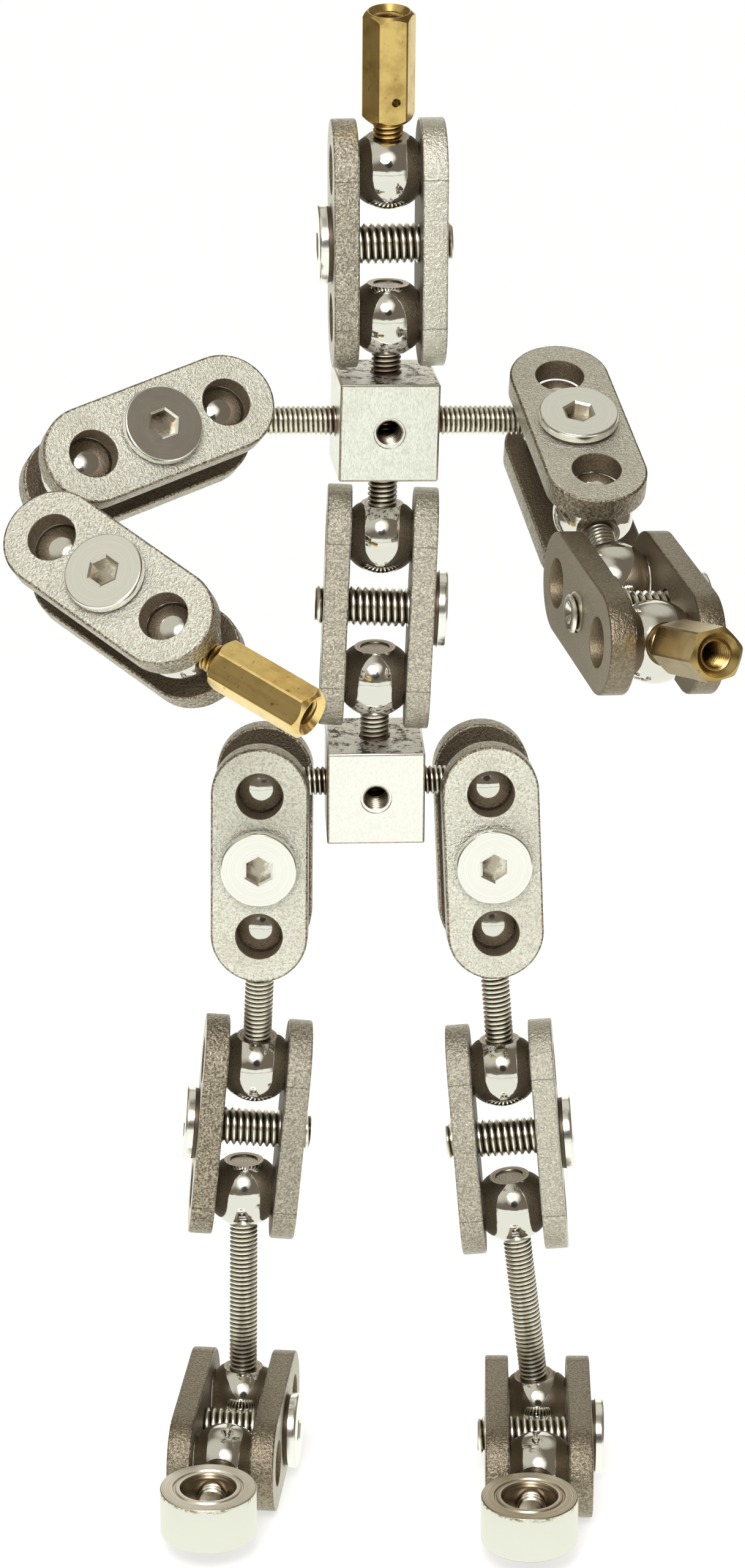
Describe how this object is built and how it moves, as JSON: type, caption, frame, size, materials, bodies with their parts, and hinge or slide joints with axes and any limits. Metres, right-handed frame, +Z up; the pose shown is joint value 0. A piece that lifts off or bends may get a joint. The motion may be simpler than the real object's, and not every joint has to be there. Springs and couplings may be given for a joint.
{
  "type": "stop-motion animation armature",
  "caption": "Standing metal ball and socket armature for an animation puppet: sandwich links clamped on steel balls, drilled blocks, brass head and hand standoffs and tie-down rings.",
  "frame": {"origin": "on the floor under the middle of the figure, at the bottom centre of its bounding box as it stands", "axes": "+Z up through the standing figure, -Y the way it faces, -X its own right side"},
  "size_m": [0.0692, 0.0608, 0.1562],
  "materials": {
    "plates": "bead-blasted steel",
    "clamp_screws": "bright turned steel",
    "balls_and_studs": "polished steel",
    "blocks": "fine milled",
    "brass": "bright drawn brass",
    "rings": "turned steel"
  },
  "bodies": {
    "pelvis": {"pelvis_block": "blocks"},
    "waist_stud": {"waist_ball_stud": "balls_and_studs"},
    "waist": {"waist_clear_plate": "plates", "waist_tapped_plate": "plates", "waist_clamp_screw": "clamp_screws"},
    "spine": {"spine_rod": "balls_and_studs"},
    "chest": {"chest_block": "blocks"},
    "neck": {"neck_clear_plate": "plates", "neck_tapped_plate": "plates", "neck_clamp_screw": "clamp_screws"},
    "head_ball": {"head_ball": "balls_and_studs"},
    "head_standoff": {"head_standoff": "brass"},
    "right_shoulder": {"right_shoulder_ball_stud": "balls_and_studs"},
    "right_upper_arm": {"right_upper_arm_clear_plate": "plates", "right_upper_arm_tapped_plate": "plates", "right_upper_arm_clamp_screw": "clamp_screws"},
    "right_elbow": {"right_elbow_rod": "balls_and_studs"},
    "right_forearm": {"right_forearm_clear_plate": "plates", "right_forearm_tapped_plate": "plates", "right_forearm_clamp_screw": "clamp_screws"},
    "right_hand_ball": {"right_hand_ball": "balls_and_studs"},
    "right_hand_standoff": {"right_hand_standoff": "brass"},
    "left_shoulder": {"left_shoulder_ball_stud": "balls_and_studs"},
    "left_upper_arm": {"left_upper_arm_clear_plate": "plates", "left_upper_arm_tapped_plate": "plates", "left_upper_arm_clamp_screw": "clamp_screws"},
    "left_elbow": {"left_elbow_rod": "balls_and_studs"},
    "left_forearm": {"left_forearm_clear_plate": "plates", "left_forearm_tapped_plate": "plates", "left_forearm_clamp_screw": "clamp_screws"},
    "left_hand_ball": {"left_hand_ball": "balls_and_studs"},
    "left_hand_standoff": {"left_hand_standoff": "brass"},
    "right_hip": {"right_hip_ball_stud": "balls_and_studs"},
    "right_thigh": {"right_thigh_clear_plate": "plates", "right_thigh_tapped_plate": "plates", "right_thigh_clamp_screw": "clamp_screws"},
    "right_thigh_rod": {"right_thigh_rod": "balls_and_studs"},
    "right_knee": {"right_knee_clear_plate": "plates", "right_knee_tapped_plate": "plates", "right_knee_clamp_screw": "clamp_screws"},
    "right_shin_rod": {"right_shin_rod": "balls_and_studs"},
    "right_foot": {"right_foot_clear_plate": "plates", "right_foot_tapped_plate": "plates", "right_foot_clamp_screw": "clamp_screws"},
    "right_toe": {"right_toe_ball_stud": "balls_and_studs"},
    "right_ring": {"right_foot_ring": "rings"},
    "left_hip": {"left_hip_ball_stud": "balls_and_studs"},
    "left_thigh": {"left_thigh_clear_plate": "plates", "left_thigh_tapped_plate": "plates", "left_thigh_clamp_screw": "clamp_screws"},
    "left_thigh_rod": {"left_thigh_rod": "balls_and_studs"},
    "left_knee": {"left_knee_clear_plate": "plates", "left_knee_tapped_plate": "plates", "left_knee_clamp_screw": "clamp_screws"},
    "left_shin_rod": {"left_shin_rod": "balls_and_studs"},
    "left_foot": {"left_foot_clear_plate": "plates", "left_foot_tapped_plate": "plates", "left_foot_clamp_screw": "clamp_screws"},
    "left_toe": {"left_toe_ball_stud": "balls_and_studs"},
    "left_ring": {"left_foot_ring": "rings"}
  },
  "joints": [
    {"name": "waist_turn", "type": "hinge", "parent": "pelvis", "child": "waist_stud", "pos_m": [0.00137, 0.02091, 0.08705], "axis": [0.0091, -0.052, 0.9986], "continuous": true},
    {"name": "waist_bend", "type": "hinge", "parent": "waist_stud", "child": "waist", "pos_m": [0.00137, 0.02091, 0.08705], "axis": [-0.9988, -0.0108, 0.0487], "range_deg": [-75, 75]},
    {"name": "spine_bend", "type": "hinge", "parent": "waist", "child": "spine", "pos_m": [0.00209, 0.02186, 0.10201], "axis": [0.9988, 0.0108, -0.0487], "range_deg": [-90, 45]},
    {"name": "chest_turn", "type": "hinge", "parent": "spine", "child": "chest", "pos_m": [0.00244, 0.02189, 0.114], "axis": [0.0295, 0.0022, 0.9996], "continuous": true},
    {"name": "neck_bend", "type": "hinge", "parent": "chest", "child": "neck", "pos_m": [0.00276, 0.02192, 0.1247], "axis": [0.997, 0.0772, -0.0034], "range_deg": [-88, 85]},
    {"name": "head_nod", "type": "hinge", "parent": "neck", "child": "head_ball", "pos_m": [0.00284, 0.0215, 0.13969], "axis": [-0.997, -0.0772, 0.0034], "range_deg": [-80, 100]},
    {"name": "head_turn", "type": "hinge", "parent": "head_ball", "child": "head_standoff", "pos_m": [0.0029, 0.02068, 0.14483], "axis": [0.0103, -0.1579, 0.9874], "continuous": true},
    {"name": "right_shoulder_turn", "type": "hinge", "parent": "chest", "child": "right_shoulder", "pos_m": [-0.01486, 0.02013, 0.11452], "axis": [0.9944, 0.1015, -0.0296], "range_deg": [-140, 40]},
    {"name": "right_shoulder_bend", "type": "hinge", "parent": "right_shoulder", "child": "right_upper_arm", "pos_m": [-0.01486, 0.02013, 0.11452], "axis": [-0.293, 0.778, -0.5558], "range_deg": [-35, 115]},
    {"name": "right_elbow_upper_bend", "type": "hinge", "parent": "right_upper_arm", "child": "right_elbow", "pos_m": [-0.02767, 0.01301, 0.11131], "axis": [0.293, -0.778, 0.5558], "range_deg": [-135, 35]},
    {"name": "right_elbow_lower_bend", "type": "hinge", "parent": "right_elbow", "child": "right_forearm", "pos_m": [-0.02837, 0.00492, 0.10464], "axis": [0.2558, 0.7172, -0.6482], "range_deg": [-28, 135]},
    {"name": "right_wrist_bend", "type": "hinge", "parent": "right_forearm", "child": "right_hand_ball", "pos_m": [-0.01732, -0.00375, 0.09941], "axis": [0.2558, 0.7172, -0.6482], "range_deg": [-80, 85]},
    {"name": "right_hand_turn", "type": "hinge", "parent": "right_hand_ball", "child": "right_hand_standoff", "pos_m": [-0.01348, -0.0062, 0.09787], "axis": [0.799, -0.5088, -0.3203], "continuous": true},
    {"name": "left_shoulder_turn", "type": "hinge", "parent": "chest", "child": "left_shoulder", "pos_m": [0.01975, 0.02366, 0.11349], "axis": [-0.9944, -0.1015, 0.0296], "range_deg": [-40, 140]},
    {"name": "left_shoulder_bend", "type": "hinge", "parent": "left_shoulder", "child": "left_upper_arm", "pos_m": [0.01975, 0.02366, 0.11349], "axis": [-0.0441, 0.3872, -0.9209], "range_deg": [-150, 30]},
    {"name": "left_elbow_upper_bend", "type": "hinge", "parent": "left_upper_arm", "child": "left_elbow", "pos_m": [0.02289, 0.01019, 0.10768], "axis": [0.0441, -0.3872, 0.9209], "range_deg": [-85, 90]},
    {"name": "left_elbow_lower_bend", "type": "hinge", "parent": "left_elbow", "child": "left_forearm", "pos_m": [0.02442, 0.00067, 0.10352], "axis": [-0.9736, -0.2191, 0.0639], "range_deg": [-105, 75]},
    {"name": "left_wrist_bend", "type": "hinge", "parent": "left_forearm", "child": "left_hand_ball", "pos_m": [0.02763, -0.01393, 0.10232], "axis": [0.9736, 0.2191, -0.0639], "range_deg": [-70, 100]},
    {"name": "left_hand_turn", "type": "hinge", "parent": "left_hand_ball", "child": "left_hand_standoff", "pos_m": [0.02926, -0.01923, 0.10363], "axis": [0.2871, -0.9298, 0.2302], "continuous": true},
    {"name": "right_hip_turn", "type": "hinge", "parent": "pelvis", "child": "right_hip", "pos_m": [-0.01022, 0.02104, 0.07575], "axis": [-0.9992, -0.0401, 0.007], "range_deg": [-120, 90]},
    {"name": "right_hip_bend", "type": "hinge", "parent": "right_hip", "child": "right_thigh", "pos_m": [-0.01022, 0.02104, 0.07575], "axis": [-0.038, -0.9969, 0.0684], "range_deg": [-110, 7]},
    {"name": "right_thigh_lower_bend", "type": "hinge", "parent": "right_thigh", "child": "right_thigh_rod", "pos_m": [-0.01044, 0.02003, 0.06079], "axis": [-0.038, -0.9969, 0.0684], "range_deg": [-90, 12]},
    {"name": "right_knee_upper_bend", "type": "hinge", "parent": "right_thigh_rod", "child": "right_knee", "pos_m": [-0.01132, 0.02148, 0.04387], "axis": [0.9942, 0.0424, -0.099], "range_deg": [-90, 90]},
    {"name": "right_knee_lower_bend", "type": "hinge", "parent": "right_knee", "child": "right_shin_rod", "pos_m": [-0.01284, 0.02224, 0.02897], "axis": [-0.9942, -0.0424, 0.099], "range_deg": [-95, 85]},
    {"name": "right_ankle_bend", "type": "hinge", "parent": "right_shin_rod", "child": "right_foot", "pos_m": [-0.0132, 0.02106, 0.005], "axis": [-0.9951, 0.0993, 0], "range_deg": [-90, 50]},
    {"name": "right_toe_bend", "type": "hinge", "parent": "right_foot", "child": "right_toe", "pos_m": [-0.01469, 0.00614, 0.005], "axis": [0.9951, -0.0993, 0], "range_deg": [-90, 90]},
    {"name": "right_ring_turn", "type": "hinge", "parent": "right_toe", "child": "right_ring", "pos_m": [-0.01614, -0.00406, 0.005], "axis": [-0.1409, -0.99, 0], "continuous": true},
    {"name": "left_hip_turn", "type": "hinge", "parent": "pelvis", "child": "left_hip", "pos_m": [0.01276, 0.02197, 0.07559], "axis": [0.9992, 0.0401, -0.007], "range_deg": [-90, 120]},
    {"name": "left_hip_bend", "type": "hinge", "parent": "left_hip", "child": "left_thigh", "pos_m": [0.01276, 0.02197, 0.07559], "axis": [0.0806, -0.9947, 0.0642], "range_deg": [-8, 110]},
    {"name": "left_thigh_lower_bend", "type": "hinge", "parent": "left_thigh", "child": "left_thigh_rod", "pos_m": [0.01332, 0.02105, 0.06063], "axis": [0.0806, -0.9947, 0.0642], "range_deg": [-12, 90]},
    {"name": "left_knee_upper_bend", "type": "hinge", "parent": "left_thigh_rod", "child": "left_knee", "pos_m": [0.01459, 0.0203, 0.04369], "axis": [-0.9961, 0.026, -0.0844], "range_deg": [-95, 85]},
    {"name": "left_knee_lower_bend", "type": "hinge", "parent": "left_knee", "child": "left_shin_rod", "pos_m": [0.0158, 0.01848, 0.02885], "axis": [0.9961, -0.026, 0.0844], "range_deg": [-95, 85]},
    {"name": "left_ankle_bend", "type": "hinge", "parent": "left_shin_rod", "child": "left_foot", "pos_m": [0.01859, 0.01907, 0.00502], "axis": [0.9998, -0.0209, 0], "range_deg": [-50, 90]},
    {"name": "left_toe_bend", "type": "hinge", "parent": "left_foot", "child": "left_toe", "pos_m": [0.01827, 0.00407, 0.00502], "axis": [-0.9998, 0.0209, 0], "range_deg": [-90, 90]},
    {"name": "left_ring_turn", "type": "hinge", "parent": "left_toe", "child": "left_ring", "pos_m": [0.01694, -0.00614, 0.00502], "axis": [-0.1288, -0.9917, 0], "continuous": true}
  ]
}
